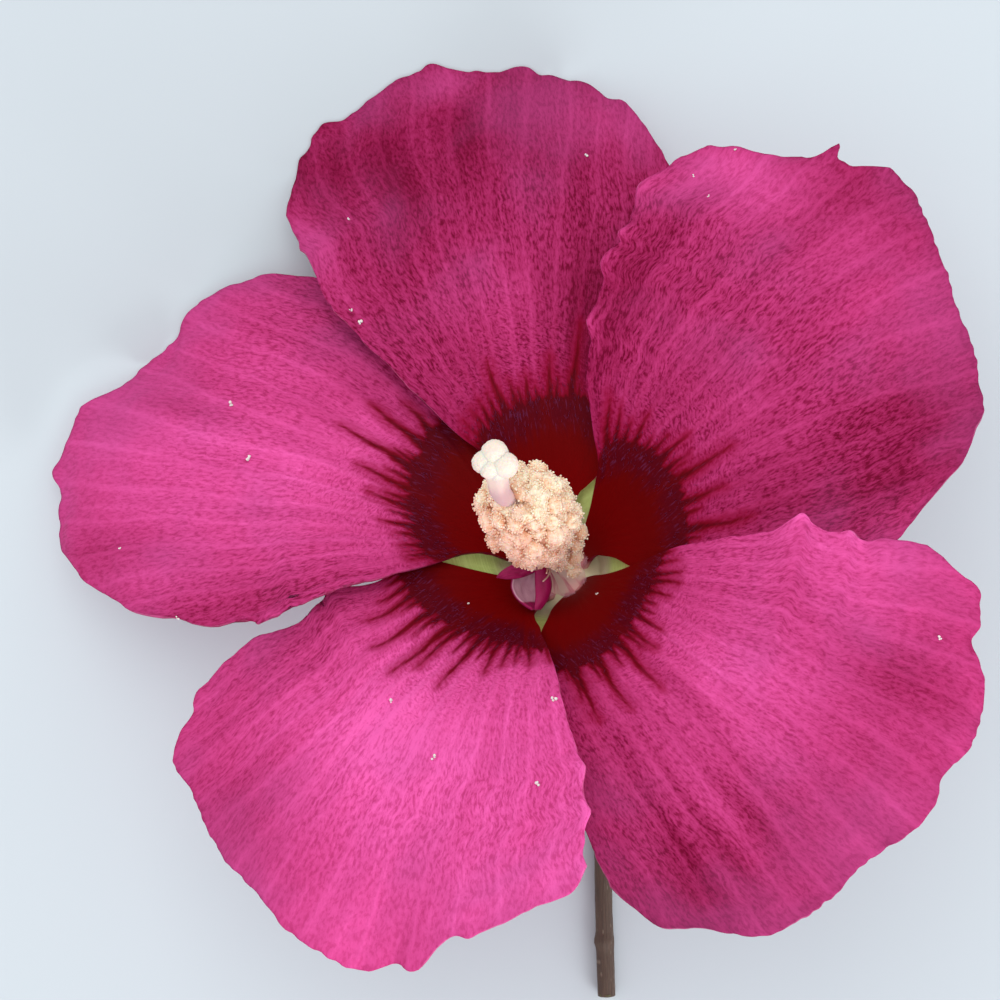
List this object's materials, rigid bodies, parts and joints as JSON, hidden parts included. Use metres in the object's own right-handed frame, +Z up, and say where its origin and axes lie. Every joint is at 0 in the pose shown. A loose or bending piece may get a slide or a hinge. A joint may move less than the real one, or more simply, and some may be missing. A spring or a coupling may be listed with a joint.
{
  "type": "hibiscus flower",
  "caption": "Fully open magenta hibiscus flower with a dark red eye, picked with a short stem and laid face up, for table and garden scenes.",
  "frame": {"origin": "centre of the bottom of the bounding box, on the surface the flower lies on", "axes": "+Z up from the surface, towards the side the flower faces; +Y along the long side, from the cut end of the stem towards the petal that rests on the surface; +X to the right of it, seen from above"},
  "size_m": [0.1001, 0.1086, 0.0534],
  "materials": {
    "petal": "soft crepe petal, magenta pink with radial veins and a dark red eye at its foot",
    "petaloid": "small curled petal, pale pink inside with a deep magenta rim",
    "sepals": "smooth fleshy green with fine ribs and short down",
    "bracts": "matt fleshy green",
    "bark": "young dark brown bark",
    "column": "waxy pale pink",
    "pollen": "dense grainy anthers, cream to peach",
    "stigma": "velvety ivory"
  },
  "bodies": {
    "root": {"petal_top": "petal", "petal_upper_right": "petal", "petal_lower_right": "petal", "petal_lower_left": "petal", "petal_left": "petal", "petaloid_stamen": "petaloid", "calyx": "sepals", "epicalyx": "bracts", "stem": "bark", "staminal_column": "column", "anthers": "pollen", "pistil": "stigma"}
  },
  "joints": []
}
